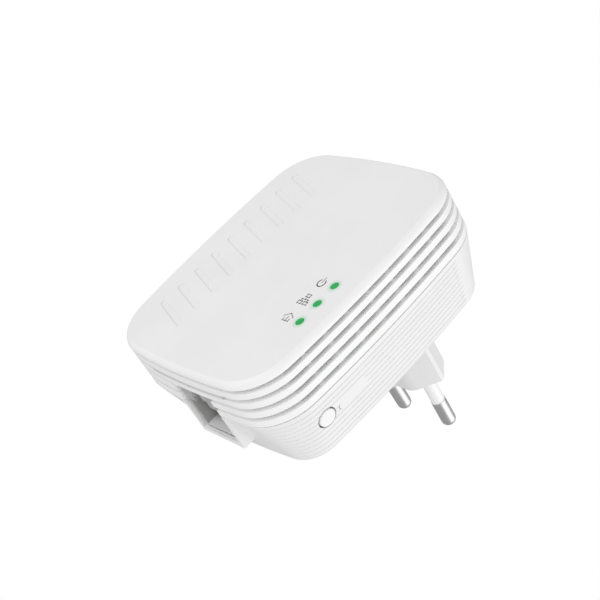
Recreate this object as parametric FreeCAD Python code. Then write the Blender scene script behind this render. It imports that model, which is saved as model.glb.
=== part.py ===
"""Powerline adapter: a mains-plug network adapter with a vented front cover, a ribbed rear housing,
a network jack at the bottom, three indicator lights and a pairing button on the side.

Frame: millimetres, X right seen from the front, Y from the front towards the wall socket, Z up.
The origin is the centre of the plug's engagement face, half way between the two contact pins.
"""
import FreeCAD, Part
import math
import os

V = FreeCAD.Vector
X_DIR = V(1, 0, 0)
Y_DIR = V(0, 1, 0)
Z_DIR = V(0, 0, 1)

# ---- driving dimensions of the housing ----
HALF_W = 31.9            # half width at mid height
HALF_H = 37.8            # half height at mid width
CENTRE_Z = -13.0         # the housing's centre lies below the plug
SIDE_BOW_R = 341.0       # radius of the gently bowed long sides
END_BOW_R = 237.0        # radius of the gently bowed ends
CORNER_R = 13.0
FRONT_Y = -49.5
PARTING_Y = -35.5
BACK_Y = -18.2
SEAM = 0.22              # visible gap between cover and housing
DRAFT = 0.285            # inward slope of the rear housing's walls
FRONT_EDGE_R = 1.5
BACK_EDGE_R = 2.5
COVER_WALL = 2.2
FACE_WALL = 2.2
REAR_WALL = 2.4
BACK_WALL = 2.2

# ---- locating lip of the rear housing, inside the cover's edge ----
LIP_GAP = 0.1
LIP_T = 0.9
LIP_HEIGHT = 1.7
LIP_ROOT = 2.0

# ---- plain slanted bars sunk in the face ----
BAR_COUNT = 9
BAR_PITCH = 6.1
BAR_W = 1.9
BAR_LENGTH = 13.0
BAR_DEPTH = 0.3
BAR_SLANT = 18.0
BAR_X = -17.0

# ---- vent grooves round the cover ----
GROOVE_Y = [-46.75, -43.9, -40.97, -38.05]
GROOVE_W = 1.2
GROOVE_DEPTH = 1.5
GROOVE_WITH_GAP = 1      # the second groove stops short above the port
GROOVE_GAP_HALF = 14.9
VENT_PITCH = 7.0
VENT_LENGTH = 5.7
VENTS_PER_SIDE = 8

# ---- ribs on the rear housing ----
RIB_COUNT = 10
RIB_FIRST_Y = -33.76
RIB_PITCH = 1.453
RIB_W = 0.36
RIB_DEPTH = 0.24
RIB_TOP_Z = CENTRE_Z + 25.3
RIB_BOTTOM_X = 25.6      # the ribs fade out on the bottom corners
RIB_BOTTOM_LEAN = 0.12
STRIP_RIBS = (3, 4)      # these two are left out beside the button, for its symbol
STRIP_TOP_Z = -24.2

# ---- network jack and its shroud ----
JACK_X = 1.0
OPENING_HALF_W = 7.5
OPENING_FRONT_Y = -41.0
OPENING_REAR_Y = -26.4
SHROUD_HALF_W = 8.7
SHROUD_REAR_Y = -24.9
RIM_Z = -50.75
SHROUD_INNER_Z = -46.5
JACK_FACE_Z = -50.1
JACK_BACK_Z = -33.8
JACK_HALF_W = 7.4
JACK_FRONT_Y = -40.9
JACK_REAR_Y = -26.5
SHIELD_T = 0.3
SHIELD_GAP = 0.02        # between the shield and the moulding inside it
MOUTH_HALF_W = 5.9       # standard eight-position modular jack
MOUTH_REAR_Y = -27.05
MOUTH_WIDE_Y = -36.1
KEYWAY = [(3.1, -38.2), (1.6, -40.2)]    # half width and front edge of each step
MOUTH_END_Z = JACK_FACE_Z + 12.6
CONTACT_COUNT = 8
CONTACT_PITCH = 1.02
CONTACT_W = 0.42
CONTACT_T = 0.3
CONTACT_TIP = (MOUTH_REAR_Y - 0.3, JACK_FACE_Z + 3.6)
CONTACT_TOP = (MOUTH_REAR_Y - 3.6, MOUTH_END_Z - 0.4)
CONTACT_LEG_RISE = 1.2   # from the end of the mouth to the first row of legs
CONTACT_ROW_STEP = 1.3

# ---- pairing button and its switch ----
BUTTON_Y = -28.8
BUTTON_Z = -37.0
BUTTON_R = 2.3
BUTTON_HOLE_R = 2.68
BUTTON_PROUD = 0.25
BUTTON_EDGE_R = 0.3
FLANGE_R = 3.0
FLANGE_X = 24.8
FLANGE_T = 0.8
STEM_R = 1.3
STEM_X = 24.2
PLUNGER_R = 1.45
PLUNGER_TIP_X = 24.0
PLUNGER_END_X = 21.5
PLUNGER_FOOT_R = 1.7
PLUNGER_FOOT_T = 0.3
PLUNGER_CLEAR = 0.15     # round the plunger, in the switch's plate
SWITCH_X0 = 19.3
SWITCH_X1 = 22.4
SWITCH_HALF_Y = 2.4
SWITCH_HALF_Z = 3.2
SWITCH_PLATE_T = 0.28
SWITCH_LEG_T = 0.3
SWITCH_RECESS_X = 20.6
SWITCH_RECESS_R = 1.9
DOME_R = 6.0
DOME_RISE = 0.25
DOME_T = 0.1

# ---- mains plug: standard two-pin 2.5 A plug ----
PIN_SPACING = 18.6       # at the engagement face
PIN_TIP_SPACING = 17.5
PIN_LENGTH = 19.0
PIN_D = 4.0
PIN_CORE_D = 3.0
PIN_TIP_R = 1.9
PIN_COLLAR_R = 2.5
PIN_COLLAR_T = 1.1
SLEEVE_D = 3.66
SLEEVE_LENGTH = 10.0     # beyond the engagement face
SLEEVE_ROOT = 1.0        # how deep the sleeve starts inside the plug
SLEEVE_GAP = 0.08
PLUG_HALF_W = 16.9       # at the engagement face
PLUG_HALF_H = 6.4
PLUG_SHOULDER_X = 11.4
PLUG_TIP_HALF = 0.5
PLUG_GROWTH = 0.5        # how much wider each way the plug is at the housing
PLUG_SHOULDER_R = 4.5
PLUG_EDGE_R = 0.4
PLUG_WALL = 2.2
PLUG_FACE_T = 4.0
PLUG_SOCKET_R = 3.5      # collars round the pins inside the hollow plug
PLUG_FLANGE_HALF_W = 20.6
PLUG_FLANGE_HALF_H = 9.4
PLUG_FLANGE_T = 1.8
PLUG_FLANGE_R = 3.0
LEAF_T = 0.3
LEAF_W = 4.0
LEAF_FOOT = 6.0
LEAF_ARM = 5.2

# ---- board and fixings ----
BOARD_FRONT_Y = -26.4
BOARD_T = 1.6
BOARD_REAR_Y = BOARD_FRONT_Y + BOARD_T
BOARD_CLEAR = 0.3        # round the bosses that pass through the board
BOARD_INSET = 5.8
BOARD_NOTCH_X = 23.9     # cut out beside the button's flange
BOARD_NOTCH_HALF = 3.6
SHEET_T = 0.25
SHEET_INSET = 7.1
SHEET_WINDOW_HALF_W = 13.3
SHEET_WINDOW_HALF_H = 3.0
HOUSING_SCREWS = [(-19.5, 13.0), (19.5, 13.0), (-15.5, -41.0), (15.5, -41.0)]
BOARD_SCREWS = [(-20.5, -35.5), (21.5, -13.5)]
BOSS_R = 3.6
BOSS_END_Y = -33.0
COUNTERBORE_R = 2.6
COUNTERBORE_Y = -30.0
PILLAR_R = 3.0
PILLAR_END_Y = -33.3
SCREW_R = 1.25
SCREW_CLEAR_R = 1.4
SCREW_END_Y = -40.5
SCREW_HEAD_R = 2.3
SCREW_HEAD_T = 1.8
BOARD_SCREW_R = 0.9
BOARD_SCREW_LENGTH = 5.5
BOARD_SCREW_HEAD_R = 2.1
BOARD_SCREW_HEAD_T = 1.5
RECESS_HALF = 0.35       # cross recess in the screw heads
RECESS_DEPTH = 0.9

# ---- indicator lights ----
LIGHT_X = 24.6
LIGHT_Z = [-16.25, -22.2, -28.15]
LIGHT_NAMES = ["power", "network", "home"]
LIGHT_R = 1.1
LIGHT_EDGE_R = 0.25
LIGHT_FIT = 0.04
LIGHT_COLLAR = 0.5
LED_SIZE = (1.6, 0.8, 0.7)
LED_GAP = 0.2
HOLDER_T = 6.0
HOLDER_HALF_W = 2.2
HOLDER_END = 2.4

# ---- parts on the board: centre x and z, then size across, up and out from the board ----
X_CAPACITOR = (-9.0, 14.0, 12.8, 6.2, 11.5)
POWERLINE_CHIP = (1.0, -13.5, 12.0, 12.0, 1.2)
THERMAL_PAD = (1.0, -13.5, 12.0, 12.0, 0.6)
SINK_BASE = (1.0, -13.5, 17.0, 15.5, 1.6)
SINK_FIN_T = 1.0
SINK_FIN_H = 6.0
SINK_FINS = 7
MEMORY_CHIP = (-14.0, -14.5, 8.0, 10.5, 1.0)
CRYSTAL = (13.4, -17.5, 3.2, 2.5, 0.8)
ETHERNET_CHIP = (13.2, -24.5, 6.0, 6.0, 0.9)
COUPLING = (-15.5, -27.2, 9.6, 9.6, 8.0)
COUPLING_CHAMFER = 0.8
# these have legs along both sides: the last two values are legs per side and leg pitch
BRIDGE_RECTIFIER = (-13.4, -3.6, 6.4, 6.2, 2.6, 2, 4.2)
POWER_CONTROLLER = (-21.5, -6.4, 4.6, 7.6, 3.0, 4, 1.9)
FLASH_CHIP = (-21.6, -17.5, 3.9, 4.9, 1.4, 4, 1.27)
ETHERNET_TRANSFORMER = (1.0, -27.2, 9.6, 9.0, 5.2, 6, 1.3)
LEG_REACH = 1.6
LEG_T = 0.3
LEG_LIFT = 0.15
# round parts: centre x and z, radius, height
BULK_CAPACITORS = [(2.5, 13.4, 4.0, 15.0), (11.0, 13.4, 4.0, 15.0)]
OUTPUT_CAPACITOR = (15.5, -10.5, 3.1, 10.0)
CAN_EDGE_R = 0.5
CAN_GROOVE = (1.6, 2.2, 0.35)            # start and end above the board, depth
FUSE = (-22.0, 4.0, 3.4, 8.0)
CHOKE = (-2.6, 4.4, 4.6, 10.0)
CHOKE_WAIST_R = 3.0
CHOKE_RIM = 1.5
CHOKE_COIL_R = 4.3
# discs standing on two wires: centre x, height above the board, centre z, radius, thickness
Y_CAPACITOR = (22.7, 5.2, 3.2, 3.4, 2.6)
VARISTOR = (-13.6, 6.2, 5.1, 4.4, 3.4)
DISC_WIRE_R = 0.3
DISC_WIRE_HALF = 2.2

# ---- transformer of the power supply ----
TRANSFORMER_X = 13.0
TRANSFORMER_Z = 1.6
TRANSFORMER_W = 14.6
TRANSFORMER_D = 12.6
TRANSFORMER_H = 14.0
LIMB = 3.6
LIMB_GAP = 0.05
CORE_BAR = 2.4
CORE_SIDE = 2.5
BOBBIN_BASE_T = 2.0
BOBBIN_TUBE = 4.8
BOBBIN_RIM_T = 1.0
BOBBIN_RIM_W = 8.4
WINDING_W = 7.8
WINDING_D = 11.4

OVERRUN = 5.0            # how far cutters run past what they cut
FIT = 0.05               # gap between fixed pieces that sit against each other

nodes = {}


# ---------------------------------------------------------------- basic shapes
def box(x0, x1, y0, y1, z0, z1):
    return Part.makeBox(x1 - x0, y1 - y0, z1 - z0, V(x0, y0, z0))


def rod_y(x, z, radius, y0, y1):
    return Part.makeCylinder(radius, y1 - y0, V(x, y0, z), Y_DIR)


def rod_x(y, z, radius, x0, x1):
    return Part.makeCylinder(radius, x1 - x0, V(x0, y, z), X_DIR)


def edges_at_y(shape, y):
    """Edges that lie wholly in the plane Y = y."""
    found = []
    for edge in shape.Edges:
        bounds = edge.BoundBox
        if abs(bounds.YMin - y) < 0.01 and abs(bounds.YMax - y) < 0.01:
            found.append(edge)
    return found


def corner_centre():
    """Centre of the upper right corner arc, tangent inside the side arc and the end arc."""
    side_cx = HALF_W - SIDE_BOW_R
    end_cz = HALF_H - END_BOW_R
    side_reach = SIDE_BOW_R - CORNER_R
    end_reach = END_BOW_R - CORNER_R
    gap = math.hypot(side_cx, end_cz)
    along = (side_reach ** 2 - end_reach ** 2 + gap ** 2) / (2 * gap)
    across = math.sqrt(side_reach ** 2 - along ** 2)
    ux = -side_cx / gap
    uz = end_cz / gap
    return side_cx + along * ux - across * uz, along * uz + across * ux


def outline(inset, y):
    """The housing's outline at y, a bowed rectangle with round corners, moved in by inset."""
    cx, cz = corner_centre()
    side_cx = HALF_W - SIDE_BOW_R
    end_cz = HALF_H - END_BOW_R
    side = V(cx - side_cx, 0, cz).normalize()
    end = V(cx, 0, cz - end_cz).normalize()
    radius = CORNER_R - inset
    on_side = V(cx, 0, cz) + side * radius
    on_end = V(cx, 0, cz) + end * radius
    on_corner = V(cx, 0, cz) + (side + end).normalize() * radius

    def at(point, sign_x, sign_z):
        return V(point.x * sign_x, y, CENTRE_Z + point.z * sign_z)

    width = V(HALF_W - inset, 0, 0)
    height = V(0, 0, HALF_H - inset)
    path = [
        (at(on_side, 1, -1), at(width, 1, 1), at(on_side, 1, 1)),
        (at(on_side, 1, 1), at(on_corner, 1, 1), at(on_end, 1, 1)),
        (at(on_end, 1, 1), at(height, 1, 1), at(on_end, -1, 1)),
        (at(on_end, -1, 1), at(on_corner, -1, 1), at(on_side, -1, 1)),
        (at(on_side, -1, 1), at(width, -1, 1), at(on_side, -1, -1)),
        (at(on_side, -1, -1), at(on_corner, -1, -1), at(on_end, -1, -1)),
        (at(on_end, -1, -1), at(height, 1, -1), at(on_end, 1, -1)),
        (at(on_end, 1, -1), at(on_corner, 1, -1), at(on_side, 1, -1)),
    ]
    return Part.Wire([Part.Arc(*points).toShape() for points in path])


def slab(inset, y0, y1):
    """Straight block with the housing's outline."""
    return Part.Face(outline(inset, y0)).extrude(V(0, y1 - y0, 0))


def taper(y0, inset0, y1, inset1):
    """Tapered block between two outlines."""
    return Part.makeLoft([outline(inset0, y0), outline(inset1, y1)], True, True)


def draft_inset(y):
    """How far the rear housing's outer wall has moved in at y."""
    return DRAFT * (y - PARTING_Y)


def ring(y0, y1, inset0, inset1):
    """Band round the housing between two insets."""
    return slab(inset0, y0, y1).cut(slab(inset1, y0, y1))


# ---------------------------------------------------------------- front cover
def vent_cuts():
    """The grooves round the cover and the open slots in their floors."""
    cuts = []
    first = -(VENTS_PER_SIDE - 1) / 2
    for index, y in enumerate(GROOVE_Y):
        groove = ring(y - GROOVE_W / 2, y + GROOVE_W / 2, -OVERRUN, GROOVE_DEPTH)
        if index == GROOVE_WITH_GAP:
            plain = box(JACK_X - GROOVE_GAP_HALF, JACK_X + GROOVE_GAP_HALF, y - OVERRUN, y + OVERRUN,
                        CENTRE_Z - 2 * HALF_H, CENTRE_Z)
            groove = groove.cut(plain)
        cuts.append(groove)
        for slot in range(VENTS_PER_SIDE):
            z = CENTRE_Z + (first + slot) * VENT_PITCH
            z0 = z - VENT_LENGTH / 2
            z1 = z + VENT_LENGTH / 2
            reach = HALF_W - OVERRUN
            for x0, x1 in ((-HALF_W, -reach), (reach, HALF_W)):
                cuts.append(box(x0, x1, y - GROOVE_W / 2, y + GROOVE_W / 2, z0, z1))
    return cuts


def decoration():
    """A plain row of slanted bars sunk in the face, along its left side."""
    bars = []
    half = BAR_LENGTH / 2
    round_r = BAR_W / 2
    floor_y = FRONT_Y + BAR_DEPTH
    for index in range(BAR_COUNT):
        bar = box(-half, half, FRONT_Y - OVERRUN, floor_y, -round_r, round_r)
        bar = bar.fuse([rod_y(end, 0, round_r, FRONT_Y - OVERRUN, floor_y) for end in (-half, half)])
        bar.rotate(V(0, 0, 0), Y_DIR, BAR_SLANT)
        bar.translate(V(BAR_X, 0, CENTRE_Z + (index - (BAR_COUNT - 1) / 2) * BAR_PITCH))
        bars.append(bar)
    return bars


def port_opening():
    """The clear space of the network port, through cover, seam and housing."""
    return box(JACK_X - OPENING_HALF_W, JACK_X + OPENING_HALF_W, OPENING_FRONT_Y, OPENING_REAR_Y,
               RIM_Z - OVERRUN, SHROUD_INNER_Z + OVERRUN)


def build_cover():
    rear_y = PARTING_Y - SEAM / 2
    shell = slab(0, FRONT_Y, rear_y)
    shell = shell.makeFillet(FRONT_EDGE_R, edges_at_y(shell, FRONT_Y))
    shell = shell.cut(slab(COVER_WALL, FRONT_Y + FACE_WALL, rear_y + OVERRUN))
    pillars = [rod_y(x, z, PILLAR_R, FRONT_Y + FACE_WALL / 2, PILLAR_END_Y) for x, z in HOUSING_SCREWS]
    shell = shell.fuse(pillars)
    pilots = [rod_y(x, z, SCREW_R, SCREW_END_Y - 1, PILLAR_END_Y + OVERRUN) for x, z in HOUSING_SCREWS]
    lights = [rod_y(LIGHT_X, z, LIGHT_R + LIGHT_FIT, FRONT_Y - OVERRUN, FRONT_Y + OVERRUN)
              for z in LIGHT_Z]
    shell = shell.cut(pilots + lights + vent_cuts() + decoration() + [port_opening()])
    nodes["front_cover"] = shell.removeSplitter()


# ---------------------------------------------------------------- rear housing
def rib_cuts():
    """Fine grooves round the long sides, ending before the top and on the bottom corners."""
    cuts = []
    for index in range(RIB_COUNT):
        y = RIB_FIRST_Y + index * RIB_PITCH
        groove = ring(y - RIB_W / 2, y + RIB_W / 2, -OVERRUN, draft_inset(y) + RIB_DEPTH)
        groove = groove.cut(box(-2 * HALF_W, 2 * HALF_W, y - 1, y + 1, RIB_TOP_Z, RIB_TOP_Z + HALF_H))
        limit = RIB_BOTTOM_X - RIB_BOTTOM_LEAN * (y - RIB_FIRST_Y)
        groove = groove.cut(box(-limit, limit, y - 1, y + 1, CENTRE_Z - 2 * HALF_H, RIB_TOP_Z))
        if index in STRIP_RIBS:
            groove = groove.cut(box(0, 2 * HALF_W, y - 1, y + 1, BUTTON_Z, STRIP_TOP_Z))
        cuts.append(groove)
    return cuts


def housing_body():
    """The housing's outside as a solid block, without ribs and shroud."""
    start_y = PARTING_Y + SEAM / 2
    body = taper(start_y, draft_inset(start_y), BACK_Y, draft_inset(BACK_Y))
    return body.makeFillet(BACK_EDGE_R, edges_at_y(body, BACK_Y))


def housing_cavity():
    start_y = PARTING_Y
    end_y = BACK_Y - BACK_WALL
    return taper(start_y, draft_inset(start_y) + REAR_WALL, end_y, draft_inset(end_y) + REAR_WALL)


def shroud_block(z_top):
    start_y = PARTING_Y + SEAM / 2
    return box(JACK_X - SHROUD_HALF_W, JACK_X + SHROUD_HALF_W, start_y, SHROUD_REAR_Y, RIM_Z, z_top)


def locating_lip():
    """Thin wall inside the cover's edge, which backs the seam."""
    outer_inset = COVER_WALL + LIP_GAP
    return ring(PARTING_Y - LIP_HEIGHT, PARTING_Y + LIP_ROOT, outer_inset, outer_inset + LIP_T)


def build_rear_housing():
    shell = housing_body().fuse(shroud_block(CENTRE_Z - HALF_H + OVERRUN))
    shell = shell.cut(rib_cuts())
    shell = shell.cut(housing_cavity())
    inner_wall = shroud_block(SHROUD_INNER_Z)
    back_inner_y = BACK_Y - BACK_WALL
    root_y = BACK_Y - BACK_WALL / 2
    bosses = [rod_y(x, z, BOSS_R, BOSS_END_Y, root_y) for x, z in HOUSING_SCREWS]
    posts = [rod_y(x, z, PILLAR_R, BOARD_REAR_Y, root_y) for x, z in BOARD_SCREWS]
    keep = slab(COVER_WALL, PARTING_Y - OVERRUN, PARTING_Y).fuse(housing_body())
    shell = shell.fuse([inner_wall, locating_lip()] + [boss.common(keep) for boss in bosses] + posts)
    cuts = [port_opening(), plug_body(FIT, BACK_Y - OVERRUN)]
    cuts.append(rod_x(BUTTON_Y, BUTTON_Z, BUTTON_HOLE_R, SWITCH_X1, HALF_W + OVERRUN))
    for x, z in HOUSING_SCREWS:
        cuts.append(rod_y(x, z, COUNTERBORE_R, COUNTERBORE_Y, BACK_Y + OVERRUN))
        cuts.append(rod_y(x, z, SCREW_CLEAR_R, BOSS_END_Y - OVERRUN, COUNTERBORE_Y + OVERRUN))
    for x, z in BOARD_SCREWS:
        cuts.append(rod_y(x, z, BOARD_SCREW_R, BOARD_REAR_Y - OVERRUN, back_inner_y))
    nodes["rear_housing"] = shell.cut(cuts).removeSplitter()


# ---------------------------------------------------------------- mains plug
def plug_outline(half_w, half_h, shoulder_x, y):
    right = [(shoulder_x, -half_h), (half_w, -PLUG_TIP_HALF), (half_w, PLUG_TIP_HALF), (shoulder_x, half_h)]
    left = [(-x, -z) for x, z in right]
    points = [V(x, y, z) for x, z in right + left]
    return Part.makePolygon(points + points[:1])


def plug_body(grow, start_y):
    """The plug's six-sided block from start_y to the engagement face, widened all round by grow."""
    def at(y):
        wider = grow + PLUG_GROWTH * y / BACK_Y
        return plug_outline(PLUG_HALF_W + wider, PLUG_HALF_H + wider, PLUG_SHOULDER_X, y)

    body = Part.makeLoft([at(start_y), at(0)], True, True)
    shoulders = []
    for edge in body.Edges:
        long_enough = edge.BoundBox.YLength > abs(start_y) / 2
        if long_enough and abs(edge.CenterOfMass.x) < (PLUG_SHOULDER_X + PLUG_HALF_W) / 2:
            shoulders.append(edge)
    body = body.makeFillet(PLUG_SHOULDER_R, shoulders)
    if grow == 0:
        body = body.makeFillet(PLUG_EDGE_R, edges_at_y(body, 0))
    return body


def pin_axis(sign):
    """Point on the pin's axis in the engagement face, and its direction: the tips lean inwards."""
    lean = (PIN_SPACING - PIN_TIP_SPACING) / 2
    direction = V(-sign * lean, PIN_LENGTH, 0).normalize()
    return V(sign * PIN_SPACING / 2, 0, 0), direction


def pin_rod(sign, radius, start, end):
    """Cylinder round a pin's axis, between two distances from the engagement face."""
    point, direction = pin_axis(sign)
    return Part.makeCylinder(radius, end - start, point + direction * start, direction)


def flange_span():
    """Y of both faces of the plug's flange, which sits against the inside of the back wall."""
    end_y = BACK_Y - BACK_WALL - FIT
    return end_y - PLUG_FLANGE_T, end_y


def plug_hollow():
    """Space inside the plug, open towards the board."""
    start_y, _ = flange_span()
    shoulder_x = PLUG_SHOULDER_X - PLUG_WALL
    start = plug_outline(PLUG_HALF_W - PLUG_WALL, PLUG_HALF_H - PLUG_WALL / 2, shoulder_x, start_y - 1)
    end = plug_outline(PLUG_HALF_W - PLUG_WALL - 1, PLUG_HALF_H - PLUG_WALL, shoulder_x, -PLUG_FACE_T)
    return Part.makeLoft([start, end], True, True)


def build_plug_base():
    start_y, end_y = flange_span()
    flange = box(-PLUG_FLANGE_HALF_W, PLUG_FLANGE_HALF_W, start_y, end_y,
                 -PLUG_FLANGE_HALF_H, PLUG_FLANGE_HALF_H)
    upright = [edge for edge in flange.Edges if edge.BoundBox.YLength > PLUG_FLANGE_T / 2]
    base = plug_body(0, start_y).fuse(flange.makeFillet(PLUG_FLANGE_R, upright))
    base = base.cut(plug_hollow())
    base = base.fuse([pin_rod(sign, PLUG_SOCKET_R, start_y + 1, -PLUG_FACE_T / 2) for sign in (-1, 1)])
    for sign in (-1, 1):
        bore = pin_rod(sign, PIN_CORE_D / 2, start_y - OVERRUN, OVERRUN)
        sleeve_seat = pin_rod(sign, SLEEVE_D / 2 + SLEEVE_GAP, -SLEEVE_ROOT, OVERRUN)
        base = base.cut([bore, sleeve_seat])
    nodes["plug_base"] = base.removeSplitter()


def build_pin(sign, side):
    """Solid tip on a thinner core, which runs through the plug to a collar, and the plastic sleeve."""
    start_y, _ = flange_span()
    core_r = PIN_CORE_D / 2
    tip = pin_rod(sign, PIN_D / 2, SLEEVE_LENGTH, PIN_LENGTH)
    point, direction = pin_axis(sign)
    end_point = point + direction * PIN_LENGTH
    end_edges = [edge for edge in tip.Edges if len(edge.Vertexes) == 1
                 and (edge.Curve.Center - end_point).Length < 0.01]
    tip = tip.makeFillet(PIN_TIP_R, end_edges)
    collar_end = start_y - 2 * FIT
    collar_start = collar_end - PIN_COLLAR_T
    core = pin_rod(sign, core_r, collar_start, SLEEVE_LENGTH)
    collar = pin_rod(sign, PIN_COLLAR_R, collar_start, collar_end)
    nodes["contact_pin_" + side] = tip.fuse([core, collar]).removeSplitter()
    sleeve = pin_rod(sign, SLEEVE_D / 2, FIT - SLEEVE_ROOT, SLEEVE_LENGTH)
    nodes["pin_sleeve_" + side] = sleeve.cut(pin_rod(sign, core_r, -OVERRUN, SLEEVE_LENGTH + 1))


def build_pin_springs():
    """Leaf springs from the pins' collars to the back of the board."""
    start_y, _ = flange_span()
    arm_y = start_y - PIN_COLLAR_T - 5 * FIT
    half = LEAF_W / 2
    springs = []
    for sign in (-1, 1):
        x0 = sign * PIN_SPACING / 2 - LEAF_FOOT / 2
        foot = box(x0, x0 + LEAF_FOOT, BOARD_REAR_Y, BOARD_REAR_Y + LEAF_T, -half, half)
        riser = box(x0, x0 + LEAF_T, BOARD_REAR_Y, arm_y, -half, half)
        arm = box(x0, x0 + LEAF_ARM, arm_y - LEAF_T, arm_y, -half, half)
        springs.append(foot.fuse([riser, arm]).removeSplitter())
    nodes["pin_contact_springs"] = Part.makeCompound(springs)


# ---------------------------------------------------------------- board and fixings
def sheet_holes(y0, y1, boss_r, post_r):
    """Clearance holes in a flat sheet for the screw bosses and the board posts."""
    holes = [rod_y(x, z, boss_r, y0 - 1, y1 + 1) for x, z in HOUSING_SCREWS]
    return holes + [rod_y(x, z, post_r, y0 - 1, y1 + 1) for x, z in BOARD_SCREWS]


def build_board():
    board = slab(BOARD_INSET, BOARD_FRONT_Y, BOARD_REAR_Y)
    notch = box(BOARD_NOTCH_X, HALF_W, BOARD_FRONT_Y - 1, BOARD_REAR_Y + 1,
                BUTTON_Z - BOARD_NOTCH_HALF, BUTTON_Z + BOARD_NOTCH_HALF)
    holes = sheet_holes(BOARD_FRONT_Y, BOARD_REAR_Y, BOSS_R + BOARD_CLEAR, SCREW_R)
    nodes["main_board"] = board.cut(holes + [notch])
    y0 = BOARD_REAR_Y + 2 * FIT
    y1 = y0 + SHEET_T
    window = box(-SHEET_WINDOW_HALF_W, SHEET_WINDOW_HALF_W, y0 - 1, y1 + 1,
                 -SHEET_WINDOW_HALF_H, SHEET_WINDOW_HALF_H)
    holes = sheet_holes(y0, y1, BOSS_R + 2 * BOARD_CLEAR, PILLAR_R + BOARD_CLEAR)
    nodes["insulation_sheet"] = slab(SHEET_INSET, y0, y1).cut(holes + [window])


def pan_head_screw(x, z, seat_y, end_y, head_r, head_t, shank_r):
    """Screw driven towards the front, its head at seat_y, with a cross recess."""
    top = seat_y + head_t
    head = rod_y(x, z, head_r, seat_y, top)
    head = head.makeFillet(head_t * 0.45, edges_at_y(head, top))
    screw = head.fuse(rod_y(x, z, shank_r, end_y, seat_y + head_t / 2))
    arm = head_r * 0.6
    across = box(x - arm, x + arm, top - RECESS_DEPTH, top + 1, z - RECESS_HALF, z + RECESS_HALF)
    upright = box(x - RECESS_HALF, x + RECESS_HALF, top - RECESS_DEPTH, top + 1, z - arm, z + arm)
    return screw.cut([across, upright]).removeSplitter()


def build_screws():
    housing = []
    for x, z in HOUSING_SCREWS:
        screw = pan_head_screw(x, z, COUNTERBORE_Y, SCREW_END_Y, SCREW_HEAD_R, SCREW_HEAD_T, SCREW_R)
        housing.append(screw)
    nodes["housing_screws"] = Part.makeCompound(housing)
    board = []
    for x, z in BOARD_SCREWS:
        screw = pan_head_screw(x, z, BOARD_FRONT_Y, BOARD_FRONT_Y - BOARD_SCREW_LENGTH,
                               BOARD_SCREW_HEAD_R, BOARD_SCREW_HEAD_T, BOARD_SCREW_R)
        board.append(screw.mirror(V(x, BOARD_FRONT_Y, z), Y_DIR))
    nodes["board_screws"] = Part.makeCompound(board)


# ---------------------------------------------------------------- network jack
def mouth(z0, z1, grow):
    """The stepped opening of a modular jack, with the latch keyway towards the front."""
    shape = box(JACK_X - MOUTH_HALF_W - grow, JACK_X + MOUTH_HALF_W + grow, MOUTH_WIDE_Y - grow,
                MOUTH_REAR_Y + grow, z0, z1)
    for half, front_y in KEYWAY:
        shape = shape.fuse(box(JACK_X - half - grow, JACK_X + half + grow, front_y - grow,
                               MOUTH_REAR_Y, z0, z1))
    return shape.removeSplitter()


def contact_place(index):
    """A contact's centre in X, and where its leg runs back to the board: two staggered rows."""
    x = JACK_X + (index - (CONTACT_COUNT - 1) / 2) * CONTACT_PITCH
    return x, MOUTH_END_Z + CONTACT_LEG_RISE + (index % 2) * CONTACT_ROW_STEP


def contact_strip(index):
    """One sprung contact: free end near the mouth, rising into the jack, then down to the board."""
    x, leg_z = contact_place(index)
    tip_y, tip_z = CONTACT_TIP
    top_y, top_z = CONTACT_TOP
    front = [(tip_y, tip_z), (top_y, top_z), (top_y, leg_z), (BOARD_FRONT_Y, leg_z)]
    back = [(BOARD_FRONT_Y, leg_z + CONTACT_T), (top_y - CONTACT_T, leg_z + CONTACT_T),
            (top_y - CONTACT_T, top_z), (tip_y - CONTACT_T, tip_z)]
    points = [V(x - CONTACT_W / 2, y, z) for y, z in front + back]
    return Part.Face(Part.makePolygon(points + points[:1])).extrude(V(CONTACT_W, 0, 0))


def jack_block(inset):
    """Block with the jack's outer size, moved in by inset on every side."""
    return box(JACK_X - JACK_HALF_W + inset, JACK_X + JACK_HALF_W - inset, JACK_FRONT_Y + inset,
               JACK_REAR_Y - inset, JACK_FACE_Z + inset, JACK_BACK_Z - inset)


def build_jack():
    mouth_hole = mouth(JACK_FACE_Z - 1, JACK_FACE_Z + SHIELD_T + 1, SHIELD_T / 2)
    half = MOUTH_HALF_W
    floor_hole = box(JACK_X - half, JACK_X + half, JACK_REAR_Y - 1, JACK_REAR_Y + 1,
                     MOUTH_END_Z, JACK_BACK_Z - 2 * SHIELD_T)
    nodes["jack_shield"] = jack_block(0).cut([jack_block(SHIELD_T), mouth_hole, floor_hole])
    slots = []
    for index in range(CONTACT_COUNT):
        x, leg_z = contact_place(index)
        slots.append(box(x - CONTACT_W / 2, x + CONTACT_W / 2, CONTACT_TOP[0] - CONTACT_T, JACK_REAR_Y + 1,
                         MOUTH_END_Z - 1, leg_z + CONTACT_T))
    body = jack_block(SHIELD_T + SHIELD_GAP).cut(mouth(JACK_FACE_Z - 1, MOUTH_END_Z, 0))
    nodes["jack_housing"] = body.cut(slots)
    nodes["jack_contacts"] = Part.makeCompound([contact_strip(index) for index in range(CONTACT_COUNT)])


# ---------------------------------------------------------------- pairing button and switch
def button_rod(radius, x0, x1):
    return rod_x(BUTTON_Y, BUTTON_Z, radius, x0, x1)


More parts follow.
